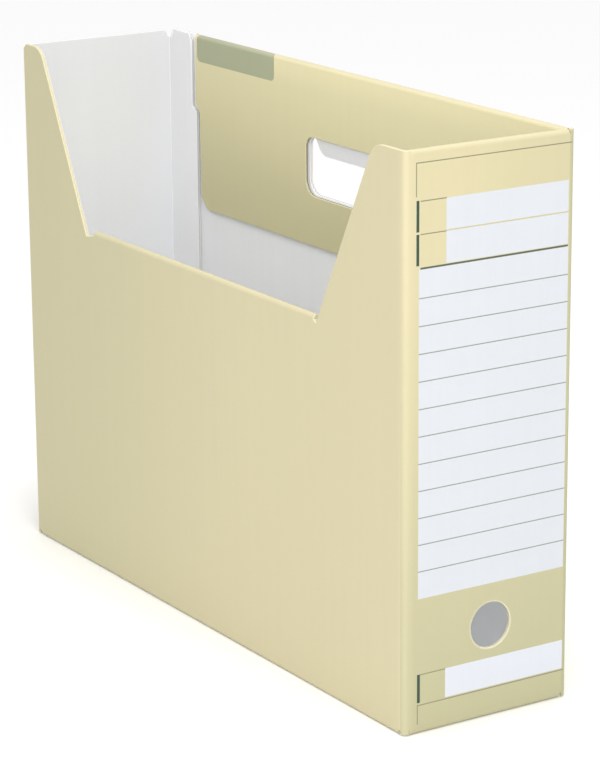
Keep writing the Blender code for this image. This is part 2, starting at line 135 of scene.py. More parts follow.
def rounded(corners):
    """Loop through the corners (u, v, r), each with r > 0 replaced by an arc tangent to both edges:
    its centre lies r / sin(half the corner's angle) along the bisector."""
    points = np.array([corner[:2] for corner in corners])
    radii = [corner[2] if len(corner) > 2 else 0.0 for corner in corners]
    loop = []
    for index, (point, radius) in enumerate(zip(points, radii)):
        if not radius:
            loop.append(point[None])
            continue
        before = points[index - 1] - point
        after = points[(index + 1) % len(points)] - point
        before = before / np.linalg.norm(before)
        after = after / np.linalg.norm(after)
        half = math.acos(np.clip(before @ after, -1.0, 1.0)) / 2
        middle = (before + after) / np.linalg.norm(before + after)
        centre = point + middle * radius / math.sin(half)
        first = point + before * radius / math.tan(half) - centre
        swing = (math.pi - 2 * half) * math.copysign(1.0, before[1] * after[0] - before[0] * after[1])
        angles = swing * np.linspace(0.0, 1.0, max(3, int(abs(swing) / 0.16)))
        turned = np.stack([first[0] * np.cos(angles) - first[1] * np.sin(angles),
                           first[0] * np.sin(angles) + first[1] * np.cos(angles)], axis=1)
        loop.append(centre + turned)
    return np.concatenate(loop)


def inset_directions(loop, seams):
    """Direction at each point of a loop with the board on its left, in which one step of inset takes
    the point one unit from its cut edges and leaves it on its seams. It solves m . n = 1 on a cut
    edge and m . n = 0 on a seam for the two edges that meet there."""
    edge = np.roll(loop, -1, axis=0) - loop
    edge = edge / np.linalg.norm(edge, axis=1, keepdims=True)
    normal = np.stack([-edge[:, 1], edge[:, 0]], axis=1)
    cut = np.ones(len(loop))
    for axis, value in seams:
        on_line = np.abs(loop[:, axis] - value) < 0.01 * mm
        cut[on_line & np.roll(on_line, -1)] = 0.0
    n_before, c_before = np.roll(normal, 1, axis=0), np.roll(cut, 1)
    det = n_before[:, 0] * normal[:, 1] - n_before[:, 1] * normal[:, 0]
    straight = np.abs(det) < 0.02
    safe = np.where(straight, 1.0, det)
    solved = np.stack([(c_before * normal[:, 1] - cut * n_before[:, 1]) / safe,
                       (n_before[:, 0] * cut - normal[:, 0] * c_before) / safe], axis=1)
    along = normal * np.minimum(cut, c_before)[:, None]
    return np.where(straight[:, None], along, solved)


def even_odd(points, start, end):
    """Whether each point lies within the loops made of these edges: a ray from it along +u crosses an
    odd number of them, each at u = u0 + (v - v0) (u1 - u0) / (v1 - v0)."""
    across = (start[:, 1] > points[:, 1:]) != (end[:, 1] > points[:, 1:])
    rise = np.where(start[:, 1] == end[:, 1], 1.0, end[:, 1] - start[:, 1])
    crossing = start[:, 0] + (points[:, 1:] - start[:, 1]) * (end[:, 0] - start[:, 0]) / rise
    return (across & (points[:, :1] < crossing)).sum(axis=1) % 2 == 1


def finished_object(name, points, faces, finish, blank, section, wear_highlight_share, materials):
    """Object with its mesh, finishes, smooth shading, the blank's coordinates as one UV map, those of
    the cut section as a second, and the share of wear and painted highlight as an attribute."""
    mesh = bpy.data.meshes.new(name)
    mesh.from_pydata(points.tolist(), [], faces)
    for material in materials:
        mesh.materials.append(material)
    mesh.polygons.foreach_set("material_index", np.asarray(finish, dtype=np.int32))
    corner_vertex = np.zeros(len(mesh.loops), dtype=np.int32)
    mesh.loops.foreach_get("vertex_index", corner_vertex)
    for layer_name, values in (("blank", blank), ("section", section)):
        layer = mesh.uv_layers.new(name=layer_name)
        layer.uv.foreach_set("vector", values[corner_vertex].astype(np.float32).ravel())
    wear_highlight_layer = mesh.attributes.new("wear_highlight_share", "FLOAT", "POINT")
    wear_highlight_layer.data.foreach_set("value", wear_highlight_share.astype(np.float32))
    solid = bmesh.new()
    solid.from_mesh(mesh)
    bmesh.ops.recalc_face_normals(solid, faces=solid.faces)
    solid.to_mesh(mesh)
    solid.free()
    mesh.shade_smooth()
    mesh.set_sharp_from_angle(angle=math.radians(50.0))
    piece = bpy.data.objects.new(name, mesh)
    bpy.context.scene.collection.objects.link(piece)
    return piece


def cut_board(name, on_wall, outline, materials, holes=(), seams=(), fold=None):
    """Flat stretch of board. Every loop carries the eight lines of the cut edge; the two faces are
    filled between the innermost lines, and the lines are joined in quads round each loop."""
    loops = [outline] + [hole[::-1] for hole in holes]
    sizes = [len(loop) for loop in loops]
    starts = np.concatenate([[0], np.cumsum(sizes)])
    total = starts[-1]
    lines = len(cut_inset)
    moved = [inset_directions(loop, seams) for loop in loops]
    flat = np.concatenate([np.concatenate(loops) + inset * np.concatenate(moved)
                           for inset in cut_inset])
    depth = np.repeat(cut_depth, total)

    rim = flat[:total] / mm
    edges = np.concatenate([first + np.stack([np.arange(size), (np.arange(size) + 1) % size], axis=1)
                            for first, size in zip(starts, sizes)])
    filled = delaunay_2d_cdt([Vector(point) for point in rim], edges.tolist(), [], 0, 1e-5, True)
    skin = np.array([[filled[3][vertex][0] for vertex in triangle] for triangle in filled[2]])
    a, b, c = (rim[skin[:, k]] for k in range(3))
    skin = skin[even_odd((a + b + c) / 3, rim[edges[:, 0]], rim[edges[:, 1]])]
    a, b, c = (rim[skin[:, k]] for k in range(3))
    clockwise = (b - a)[:, 0] * (c - a)[:, 1] < (b - a)[:, 1] * (c - a)[:, 0]
    skin[clockwise] = skin[clockwise][:, ::-1]
    faces = skin.tolist() + (skin[:, ::-1] + (lines - 1) * total).tolist()
    finish = [0] * len(skin) + [2] * len(skin)
    for first, size in zip(starts, sizes):
        here = first + np.arange(size)
        there = first + (np.arange(size) + 1) % size
        for line in range(lines - 1):
            low, high = line * total, (line + 1) * total
            faces += np.stack([there + low, here + low, here + high, there + high], axis=1).tolist()
            finish += [int(cut_finish[line])] * size
    blank = flat + np.array([on_wall[3], 0.0])
    section = np.stack([blank[:, 0], depth], axis=1)
    return finished_object(name, folded(on_wall, fold, flat, depth), faces, finish, blank, section,
                           np.repeat(cut_wear_highlight, total), materials)


def bent_board(name, on_wall, fold, span, materials, ends=None, wear_and_highlight=0.25, bead=0.0, cut=(1.0, 1.0)):
    """Board swept round a fold. Its section is the closed loop of two faces and two cut edges between
    the limits of "span", which may change along the way, and it is carried from the first of the
    "ends" to the last, in steps of 7.5 degrees within each bend. The inner liner buckles into a bead
    of height b sin(pi t)^4, and the crown is lightened by wear and a painted highlight by sin(pi t),
    with t from one side of the fold to the other. "cut" scales the rounding of the two cut edges."""
    axis, sign, at, bends = fold
    first, last = ends if ends else (-seam, bends_end(bends) + seam)
    steps = [np.array([first, last])]
    for start, radius, angle in bends:
        count = max(2, round(abs(angle) / math.radians(7.5)))
        steps.append(start + radius * abs(angle) * np.linspace(0.0, 1.0, count + 1))
    steps = np.unique(np.round(np.concatenate(steps), 9))
    steps = steps[(steps >= first - 1e-9) & (steps <= last + 1e-9)]
    low, high = (np.broadcast_to(limit(steps) if callable(limit) else limit, steps.shape)
                 for limit in span)
    across = np.concatenate([low[:, None] + cut[0] * cut_inset,
                             high[:, None] - cut[1] * cut_inset[::-1]], axis=1)
    deep = np.concatenate([cut_depth, cut_depth[::-1]])
    rows, columns = across.shape
    flat = np.zeros((rows * columns, 2))
    flat[:, axis] = np.repeat(at + sign * steps, columns)
    flat[:, 1 - axis] = across.ravel()
    depth = np.tile(deep, rows)
    way_round = np.clip((steps + seam) / (bends_end(bends) + 2 * seam), 0.0, 1.0)
    arch = np.repeat(np.sin(np.pi * way_round), columns)
    # Share of wear and painted highlight: on the crown by the arch, and along the cut edges.
    wear_highlight_share = np.maximum(arch * wear_and_highlight * (depth < 0.5 * board),
                     np.tile(np.concatenate([cut[0] * cut_wear_highlight, cut[1] * cut_wear_highlight[::-1]]), rows))
    depth = depth + bead * arch ** 4 * (depth > 0.5 * board)
    grid = np.arange(rows * columns).reshape(rows, columns)
    ahead = np.roll(grid, -1, axis=1)
    quads = np.stack([grid[:-1], ahead[:-1], ahead[1:], grid[1:]], axis=-1).reshape(-1, 4)
    section_finish = np.concatenate([cut_finish, [2], cut_finish[::-1], [0]])
    faces = quads.tolist() + [grid[0].tolist(), grid[-1][::-1].tolist()]
    finish = np.concatenate([np.tile(section_finish, rows - 1), [1, 1]])
    blank = flat + np.array([on_wall[3], 0.0])
    section = np.stack([blank[:, 0], depth], axis=1)
    return finished_object(name, folded(on_wall, fold, flat, depth), faces, finish, blank, section, wear_highlight_share,
                           materials)


def hinge_between(piece, before, after, on_wall, fold, middle, slot):
    """Works out the points where a folded strip's fold begins and ends, at the middle of its length and
    of the board, and bakes the strip's place into its mesh. The bodies before and after the fold are
    not used."""
    axis, sign, at, bends = fold
    flat = np.zeros((2, 2))
    flat[:, axis] = at + sign * np.array([0.0, bends_end(bends)])
    flat[:, 1 - axis] = middle
    start, end = (tuple(point) for point in folded(on_wall, fold, flat, np.full(2, board / 2)))
    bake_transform(piece)


def add_node(tree, kind, **values):
    """Shader node with its settings and inputs filled by name, or by number as in i0, from a number, a
    colour or another node's socket."""
    made = tree.nodes.new(kind)
    for name, value in values.items():
        if hasattr(made, name) and name not in made.inputs:
            setattr(made, name, value)
            continue
        socket = made.inputs[int(name[1:]) if name[0] == "i" and name[1:].isdigit() else name]
        if isinstance(value, bpy.types.NodeSocket):
            tree.links.new(value, socket)
        else:
            socket.default_value = value
    return made


def new_group(name, inputs, outputs):
    """Empty shader node group with named sockets, and its input and output nodes."""
    tree = bpy.data.node_groups.new(name, "ShaderNodeTree")
    for socket_name, kind, value in inputs:
        socket = tree.interface.new_socket(name=socket_name, in_out="INPUT", socket_type=kind)
        if value is not None:
            socket.default_value = value
    for socket_name, kind in outputs:
        tree.interface.new_socket(name=socket_name, in_out="OUTPUT", socket_type=kind)
    return tree, tree.nodes.new("NodeGroupInput"), tree.nodes.new("NodeGroupOutput")


def maths(tree, operation, first, second=0.0, third=None):
    """Result of one arithmetic node."""
    extra = {} if third is None else {"i2": third}
    made = add_node(tree, "ShaderNodeMath", operation=operation, i0=first, i1=second, **extra)
    return made.outputs[0]


def paper_group():
    """Surface of lined corrugated board: cloudy tone, fine fibre, faint upright streaks, and the
    washboard that the flutes press through the liner. Gives a tone round 1, a share of sheen and a
    bent normal."""
    tree, given, result = new_group(
        "paper_surface",
        [("Blank", "NodeSocketVector", None), ("Cloud", "NodeSocketFloat", 0.03),
         ("Fibre", "NodeSocketFloat", 0.02), ("Washboard", "NodeSocketFloat", 0.5)],
        [("Tone", "NodeSocketFloat"), ("Sheen", "NodeSocketFloat"), ("Normal", "NodeSocketVector")])
    streak_strength = 0.045
    fibre_relief = 0.35
    blank = given.outputs["Blank"]
    cloud = add_node(tree, "ShaderNodeTexNoise", Vector=blank, Scale=22.0, Detail=3.0, Roughness=0.55)
    fibre = add_node(tree, "ShaderNodeTexNoise", Vector=blank, Scale=1300.0, Detail=4.0, Roughness=0.7)
    strands = add_node(tree, "ShaderNodeMapping", Vector=blank, Scale=(260.0, 1100.0, 1.0))
    strand = add_node(tree, "ShaderNodeTexNoise", Vector=strands.outputs[0], Scale=1.0, Detail=2.0)
    streaks = add_node(tree, "ShaderNodeMapping", Vector=blank, Scale=(190.0, 2.5, 1.0))
    streak = add_node(tree, "ShaderNodeTexNoise", Vector=streaks.outputs[0], Scale=1.0, Detail=3.0,
                      Roughness=0.7)
    clouded = maths(tree, "SUBTRACT", cloud.outputs["Fac"], 0.5)
    clouded = maths(tree, "MULTIPLY", clouded, given.outputs["Cloud"])
    fibres = maths(tree, "ADD", fibre.outputs["Fac"], strand.outputs["Fac"])
    specked = maths(tree, "MULTIPLY", maths(tree, "SUBTRACT", fibres, 1.0), given.outputs["Fibre"])
    streaked = maths(tree, "SUBTRACT", streak.outputs["Fac"], 0.5)
    streaked = maths(tree, "MULTIPLY_ADD", streaked, streak_strength, 1.0)
    tone = maths(tree, "ADD", maths(tree, "ADD", clouded, specked), streaked)
    tree.links.new(tone, result.inputs["Tone"])
    tree.links.new(cloud.outputs["Fac"], result.inputs["Sheen"])
    flutes = add_node(tree, "ShaderNodeTexWave", Vector=blank, Scale=130.0, Distortion=0.0,
                      wave_type="BANDS", bands_direction="X", wave_profile="SIN")
    pressed = maths(tree, "MULTIPLY", flutes.outputs["Fac"], given.outputs["Washboard"])
    relief = maths(tree, "ADD", maths(tree, "MULTIPLY", fibres, fibre_relief), pressed)
    bump = add_node(tree, "ShaderNodeBump", Strength=0.35, Distance=0.02 * mm, Height=relief)
    tree.links.new(bump.outputs["Normal"], result.inputs["Normal"])
    return tree


def patch_group():
    """Rectangle with round corners, for print and for painted light and shade: the distance outside it
    is the length of max(|p - centre| - half + r, 0), less r, and the cover thins out over the fade."""
    tree, given, result = new_group(
        "print_and_light_mask",
        [("Blank", "NodeSocketVector", None), ("Centre", "NodeSocketVector", None),
         ("Half", "NodeSocketVector", None), ("Round", "NodeSocketFloat", 0.0),
         ("Fade", "NodeSocketFloat", 0.1 * mm), ("Cover", "NodeSocketFloat", 1.0)],
        [("Print_and_light", "NodeSocketFloat")])

    def vector(operation, first, second=None):
        extra = {} if second is None else {"i1": second}
        return add_node(tree, "ShaderNodeVectorMath", operation=operation, i0=first, **extra)

    flat = vector("MULTIPLY", given.outputs["Blank"], (1.0, 1.0, 0.0)).outputs[0]
    away = vector("ABSOLUTE", vector("SUBTRACT", flat, given.outputs["Centre"]).outputs[0]).outputs[0]
    over = vector("SUBTRACT", away, given.outputs["Half"]).outputs[0]
    radius = add_node(tree, "ShaderNodeCombineXYZ", X=given.outputs["Round"], Y=given.outputs["Round"])
    over = vector("ADD", over, radius.outputs[0]).outputs[0]
    over = vector("MAXIMUM", over, (0.0, 0.0, 0.0)).outputs[0]
    outside = maths(tree, "SUBTRACT", vector("LENGTH", over).outputs["Value"], given.outputs["Round"])
    faded = add_node(tree, "ShaderNodeMapRange", interpolation_type="SMOOTHSTEP", Value=outside, i1=0.0,
                     i2=given.outputs["Fade"], i3=given.outputs["Cover"], i4=0.0)
    tree.links.new(faded.outputs[0], result.inputs["Print_and_light"])
    return tree


paper = paper_group()
patch = patch_group()


def mixed(tree, share, under, over):
    """Colour between two others by a share."""
    mix = tree.nodes.new("ShaderNodeMix")
    mix.data_type = "RGBA"
    for socket, value in ((mix.inputs[0], share), (mix.inputs[6], under), (mix.inputs[7], over)):
        if isinstance(value, bpy.types.NodeSocket):
            tree.links.new(value, socket)
        elif socket.type == "RGBA":
            socket.default_value = (*value, 1.0)
        else:
            socket.default_value = value
    return mix.outputs[2]


def print_and_light_patch(print_and_light_colour, across, up, rounding=0.0, fade=0.08 * mm, cover=1.0):
    """Patch of print, also used for painted light and shade: its colour, its limits across and up the
    blank, the radius of its corners, how wide its edge fades, and how much it covers."""
    return print_and_light_colour, across, up, rounding, fade, cover


def board_face(name, colour, wear_and_highlight, roughness, print_and_light_patches=(), cloud=0.03, fibre=0.02, washboard=0.5,
               specular=0.35):
    """Liner of the board with its patches of print and of painted light and shade. Wear, with a painted
    highlight, lightens it along folds and cuts.
    """
    least_wear_and_highlight = 0.35
    gloss_spread = 0.16
    material = bpy.data.materials.new(name)
    material.use_nodes = True
    tree = material.node_tree
    shader = tree.nodes["Principled BSDF"]
    blank = add_node(tree, "ShaderNodeUVMap", uv_map="blank").outputs[0]
    surface = tree.nodes.new("ShaderNodeGroup")
    surface.node_tree = paper
    tree.links.new(blank, surface.inputs["Blank"])
    surface.inputs["Cloud"].default_value = cloud
    surface.inputs["Fibre"].default_value = fibre
    surface.inputs["Washboard"].default_value = washboard
    shade = colour
    for print_and_light_colour, (left, right), (bottom, top), rounding, fade, cover in print_and_light_patches:
        block = tree.nodes.new("ShaderNodeGroup")
        block.node_tree = patch
        tree.links.new(blank, block.inputs["Blank"])
        block.inputs["Centre"].default_value = ((left + right) / 2, (bottom + top) / 2, 0.0)
        block.inputs["Half"].default_value = ((right - left) / 2, (top - bottom) / 2, 0.0)
        block.inputs["Round"].default_value = rounding
        block.inputs["Fade"].default_value = fade
        block.inputs["Cover"].default_value = cover
        shade = mixed(tree, block.outputs["Print_and_light"], shade, print_and_light_colour)
    # Wear and a painted highlight lighten the liner where the attribute says.
    wear_highlight_share = add_node(tree, "ShaderNodeAttribute", attribute_name="wear_highlight_share").outputs["Fac"]
    worn_and_lit = maths(tree, "MULTIPLY", wear_highlight_share, maths(tree, "ADD", surface.outputs["Sheen"], least_wear_and_highlight))
    worn_and_lit = add_node(tree, "ShaderNodeClamp", Value=worn_and_lit, Min=0.0, Max=1.0).outputs[0]
    shade = mixed(tree, worn_and_lit, shade, wear_and_highlight)
    toned = add_node(tree, "ShaderNodeVectorMath", operation="SCALE", i0=shade,
                     Scale=surface.outputs["Tone"])
    tree.links.new(toned.outputs[0], shader.inputs["Base Color"])
    uneven = maths(tree, "MULTIPLY_ADD", surface.outputs["Sheen"], gloss_spread,
                   roughness - gloss_spread / 2)
    tree.links.new(uneven, shader.inputs["Roughness"])
    tree.links.new(surface.outputs["Normal"], shader.inputs["Normal"])
    shader.inputs["Specular IOR Level"].default_value = specular
    return material


def section_group():
    """Cut section of the board: two liners with a waved sheet between them. The wave's middle line is
    1/2 + swing sin(2 pi u / pitch) of the thickness, and what is far from it and from the liners is
    hollow."""
    flute_pitch = 1.9 * mm
    flute_swing = 0.3
    sheet_edge, hollow_edge = 0.08, 0.24
    grain = 0.2
    tree, given, result = new_group(
        "cut_section",
        [("Section", "NodeSocketVector", None), ("Paper", "NodeSocketColor", None),
         ("Hollow", "NodeSocketColor", None)],
        [("Shade", "NodeSocketColor"), ("Normal", "NodeSocketVector")])
    section = given.outputs["Section"]
    apart = add_node(tree, "ShaderNodeSeparateXYZ", Vector=section)
    share = maths(tree, "DIVIDE", apart.outputs["Y"], board)
    wave = maths(tree, "SINE", maths(tree, "MULTIPLY", apart.outputs["X"], 2 * math.pi / flute_pitch))
    middle = maths(tree, "MULTIPLY_ADD", wave, flute_swing, 0.5)
    off_wave = maths(tree, "ABSOLUTE", maths(tree, "SUBTRACT", share, middle))
    off_middle = maths(tree, "ABSOLUTE", maths(tree, "SUBTRACT", share, 0.5))
    nearest = maths(tree, "MINIMUM", off_wave, maths(tree, "SUBTRACT", 0.5, off_middle))
    hollow = add_node(tree, "ShaderNodeMapRange", Value=nearest, i1=sheet_edge, i2=hollow_edge, i3=0.0,
                      i4=1.0).outputs[0]
    noise = add_node(tree, "ShaderNodeTexNoise", Vector=section, Scale=1500.0, Detail=3.0,
                     Roughness=0.65)
    shade = mixed(tree, hollow, given.outputs["Paper"], given.outputs["Hollow"])
    tone = maths(tree, "MULTIPLY_ADD", noise.outputs["Fac"], grain, 1.0 - grain / 2)
    toned = add_node(tree, "ShaderNodeVectorMath", operation="SCALE", i0=shade, Scale=tone)
    tree.links.new(toned.outputs[0], result.inputs["Shade"])
    relief = maths(tree, "MULTIPLY_ADD", hollow, -1.0, noise.outputs["Fac"])
    bump = add_node(tree, "ShaderNodeBump", Strength=0.25, Distance=0.1 * mm, Height=relief)
    tree.links.new(bump.outputs["Normal"], result.inputs["Normal"])
    return tree


cut_section = section_group()


def board_core(name, paper_colour, hollow_colour):
    """Cut edge of the board in its own two tones."""
    material = bpy.data.materials.new(name)
    material.use_nodes = True
    tree = material.node_tree
    shader = tree.nodes["Principled BSDF"]
    surface = tree.nodes.new("ShaderNodeGroup")
    surface.node_tree = cut_section
    section = add_node(tree, "ShaderNodeUVMap", uv_map="section").outputs[0]
    tree.links.new(section, surface.inputs["Section"])
    surface.inputs["Paper"].default_value = (*paper_colour, 1.0)
    surface.inputs["Hollow"].default_value = (*hollow_colour, 1.0)
    tree.links.new(surface.outputs["Shade"], shader.inputs["Base Color"])
    tree.links.new(surface.outputs["Normal"], shader.inputs["Normal"])
    shader.inputs["Roughness"].default_value = 0.9
    shader.inputs["Specular IOR Level"].default_value = 0.2
    return material


cream_colour = (0.595, 0.54, 0.345)
# Colour of wear and of painted highlight along folds and cuts.
wear_highlight_colour = (0.78, 0.70, 0.46)
shade_olive = (0.44, 0.43, 0.262)
white_colour = (0.915, 0.922, 0.935)
everywhere = (-1.0, 1.0)
past_blank = 2.0

# The cream has painted shade that deepens slowly towards the rear, and along the near front crease a
# painted highlight, where the crease also stretches the liner pale.
rear_painted_shade = print_and_light_patch(shade_olive, (-past_blank, 20.0 * mm - spine_to_side - half_depth), everywhere,
                    fade=240.0 * mm, cover=0.42)
crease_line = spine_to_side - half_depth + corner_radius - corner_run / 2
crease_half = 2.4 * mm
crease_painted_highlight = print_and_light_patch(wear_highlight_colour, (-crease_line - crease_half, crease_half - crease_line), everywhere,
                    fade=4.2 * mm, cover=0.13)
cream = board_face("cream_liner", cream_colour, wear_highlight_colour, 0.5, [rear_painted_shade, crease_painted_highlight], cloud=0.04,
                   fibre=0.03)


def white_face(name, colour, print_and_light_patches=()):
    """Bleached liner of the board's inner side."""
    # Colour of wear and of painted highlight on the white liner.
    white_wear_highlight = (0.94, 0.94, 0.94)
    return board_face(name, colour, white_wear_highlight, 0.62, print_and_light_patches, cloud=0.02, fibre=0.03,
                      washboard=0.8, specular=0.25)


white = white_face("white_liner", white_colour)
white_core = board_core("white_cut_core", (0.80, 0.80, 0.80), (0.54, 0.54, 0.54))

notch_height = foot_radius + seam
rim_line = height - rim_radius
rim_seam = rim_line - seam
rim_bends = [(0.0, rim_radius, quarter), (rim_radius * quarter + rim_gap, rim_radius, quarter)]
front_seam = corner_radius + seam - half_depth
rim_slit = 0.8 * mm
crown_front = front_seam + rim_slit
crown_rear = half_depth - 31.9 * mm
crown_notch = 3.0 * mm
hole_half = 43.1 * mm
hole_drop = 41.3 * mm
hole_top = height - hole_drop
hole_bottom = hole_top - 32.6 * mm
hole_top_round = 6.0 * mm
hole_bottom_round = 9.0 * mm
top_round = 1.2 * mm

right_outline = rounded([
    (front_seam, notch_height), (half_depth, notch_height), (half_depth, height, top_round),
    (crown_rear + crown_notch, height), (crown_rear + crown_notch, rim_seam), (crown_rear, rim_seam),
    (front_seam, rim_seam),
])
hand_hole = rounded([
    (-hole_half, hole_bottom, hole_bottom_round), (hole_half, hole_bottom, hole_bottom_round),
    (hole_half, hole_top, hole_top_round), (-hole_half, hole_top, hole_top_round),
])
right_side = cut_board("right_side_board", right_wall, right_outline, (cream, white_core, white),
                       [hand_hole], [(1, notch_height), (1, rim_seam), (0, front_seam)])
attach(right_side, "right_side")
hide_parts("right_side")

# Folded-over flap. The right side's board turns over the top edge in a narrow crown and hangs down
# inside the wall, printed face to the compartment, with a sage index block at its rear and a hole
# that matches the hand hole. Its rear edge is stepped and its lower corners are cut away.
crown_fold = (1, 1, rim_line, rim_bends)
flap_start = rim_line + bends_end(rim_bends) + seam


def below_rim(top, drop):
    """Place up the blank of what hangs the given drop below a rim, on its inner side."""
    return top - rim_radius + bends_end(rim_bends) + drop - rim_radius


flap_end = below_rim(height, 103.1 * mm)
flap_step_top = below_rim(height, 41.5 * mm)
flap_step_foot = below_rim(height, 45.5 * mm)
flap_step_rear = crown_rear - 4.0 * mm
flap_step_round = 0.6 * mm
flap_low_rear = flap_step_rear - 1.0 * mm
front_cut = (40.7 * mm, 17.0 * mm)
rear_cut = (6.3 * mm, 6.4 * mm)
flap_outline = rounded([
    (crown_front, flap_start), (crown_front, flap_end - front_cut[1]),
    (crown_front + front_cut[0], flap_end), (flap_low_rear - rear_cut[0], flap_end, 5.0 * mm),
    (flap_low_rear, flap_end - rear_cut[1], 4.0 * mm),
    (flap_step_rear, flap_step_foot, flap_step_round), (crown_rear, flap_step_top, flap_step_round),
    (crown_rear, flap_start),
])[::-1]
inner_half = hole_half + 0.6 * mm
inner_top = below_rim(height, hole_drop)
inner_bottom = below_rim(height, 74.6 * mm)
inner_hole = rounded([
    (-inner_half, inner_top, hole_top_round), (-inner_half, inner_bottom, hole_bottom_round),
    (inner_half, inner_bottom, hole_bottom_round), (inner_half, inner_top, hole_top_round),
])[::-1]

# Colour of the flap: cream with painted shade towards its foot and a painted highlight just under the
# crown, the printed sage block over them, and painted shade on the crown itself.
flap_colour = (0.715, 0.655, 0.395)
flap_foot_painted_shade = (0.52, 0.495, 0.285)
flap_painted_highlight = (0.90, 0.82, 0.52)
crown_painted_shade = (0.10, 0.06, 0.20)
sage = (0.385, 0.405, 0.262)
sage_across = (spine_to_side + 76.4 * mm, spine_to_side + 161.5 * mm)
crown_top = rim_line + rim_radius * quarter
sage_up = (crown_top, below_rim(height, 15.3 * mm))
flap_print_and_light = [
    print_and_light_patch(flap_foot_painted_shade, everywhere, (flap_end - 14.0 * mm, 1.0), fade=95.0 * mm, cover=0.5),
    print_and_light_patch(flap_painted_highlight, everywhere, (flap_start, flap_start + 1.0 * mm), fade=14.0 * mm, cover=0.3),
    print_and_light_patch(sage, sage_across, sage_up, 3.5 * mm),
    print_and_light_patch(crown_painted_shade, everywhere, (rim_line, crown_top + 1.0 * mm), fade=2.6 * mm, cover=0.2),
]
cream_flap = board_face("cream_flap_liner", flap_colour, wear_highlight_colour, 0.5, flap_print_and_light)
# The flap's cut edge is darker than the board's cut edge, as painted shade of the gap behind it.
flap_shaded_core = board_core("flap_cut_core", (0.46, 0.44, 0.34), (0.20, 0.19, 0.14))
flap_finishes = (cream_flap, flap_shaded_core, white)
flap = cut_board("fold_over_board", right_wall, flap_outline, flap_finishes, [inner_hole],
                 [(1, flap_start)], crown_fold)
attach(flap, "fold_over_flap")
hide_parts("fold_over_flap")
crown = bent_board("fold_over_crease", right_wall, crown_fold, (crown_front, crown_rear), flap_finishes)
hinge_between(crown, "right_side", "fold_over_flap", right_wall, crown_fold,
              (crown_front + crown_rear) / 2, "cream_flap")

# Tongue. The board punched out of the hand hole is left hanging on its top edge as a short lip, which
# has been pushed outwards so that the fingers lift against a fold and not against a cut.
tongue_half = hole_half - hole_top_round
tongue_length = 10.8 * mm
tongue_gap = 0.3 * mm
tongue_round = 4.5 * mm
tongue_hang = math.radians(22.0)
tongue_outline = rounded([
    (-tongue_half, hole_top - tongue_gap - tongue_length, tongue_round),
    (tongue_half, hole_top - tongue_gap - tongue_length, tongue_round),
    (tongue_half, hole_top - tongue_gap), (-tongue_half, hole_top - tongue_gap),
])
tongue = cut_board("hand_hole_tongue_board", right_wall, tongue_outline, (cream, white_core, white))
hinge_line = Vector((half_width, 0.0, hole_top - tongue_gap / 2))
tongue.data.transform(Matrix.Translation(hinge_line) @ Matrix.Rotation(-tongue_hang, 4, "Y")
                      @ Matrix.Translation(-hinge_line))
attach(tongue, "hand_hole_tongue")
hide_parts("hand_hole_tongue")

# Spine. The narrow wall at -Y carries printed fields for a title and a finger hole for pulling the box
# off a shelf. The cream is printed round white fields, with fine olive rules and dark green bars.
white_field = (0.605, 0.628, 0.665)
foot_field = (0.65, 0.672, 0.725)
rule = (0.25, 0.23, 0.14)
dark_rule = (0.085, 0.105, 0.08)
pale_rule = (0.27, 0.285, 0.25)
gilt_rule = (0.50, 0.46, 0.27)
bar = (0.035, 0.07, 0.048)
fine = 0.5 * mm
bold = 0.9 * mm


def level(print_and_light_colour, left, right, at, thickness):
    """Horizontal rule on the spine, with its places in millimetres."""
    return print_and_light_patch(print_and_light_colour, (left * mm, right * mm), (at * mm - thickness / 2, at * mm + thickness / 2))


def upright(print_and_light_colour, at, bottom, top, thickness):
    """Upright rule on the spine, with its places in millimetres."""
    return print_and_light_patch(print_and_light_colour, (at * mm - thickness / 2, at * mm + thickness / 2), (bottom * mm, top * mm))


def field(print_and_light_colour, left, right, bottom, top):
    """Printed field on the spine, with its limits in millimetres."""
    return print_and_light_patch(print_and_light_colour, (left * mm, right * mm), (bottom * mm, top * mm))


# Tones under the print: painted shade towards the foot, a paler ring round the finger hole, and
# painted shade that deepens in three bands along the far edge.
finger_hole_across = 2.1 * mm
finger_hole_up = 49.4 * mm
finger_hole_radius = 12.2 * mm
ring_colour = (0.80, 0.77, 0.62)
ring = finger_hole_radius + 0.3 * mm
painted_corner_shade = (0.36, 0.37, 0.20)
far_edge = 54.0 * mm
spine_print_and_light = [
    print_and_light_patch(shade_olive, everywhere, (-1.0, 20.0 * mm), fade=230.0 * mm, cover=0.75), crease_painted_highlight,
    print_and_light_patch(ring_colour, (finger_hole_across - ring, finger_hole_across + ring),
            (finger_hole_up - ring, finger_hole_up + ring), ring, 0.8 * mm, 0.4),
    print_and_light_patch(shade_olive, (48.0 * mm, far_edge), everywhere, fade=75.0 * mm, cover=0.25),
    print_and_light_patch(painted_corner_shade, (47.9 * mm, far_edge), everywhere, fade=0.3 * mm, cover=0.45),
    print_and_light_patch(painted_corner_shade, (49.7 * mm, far_edge), everywhere, fade=0.6 * mm, cover=0.7),
]

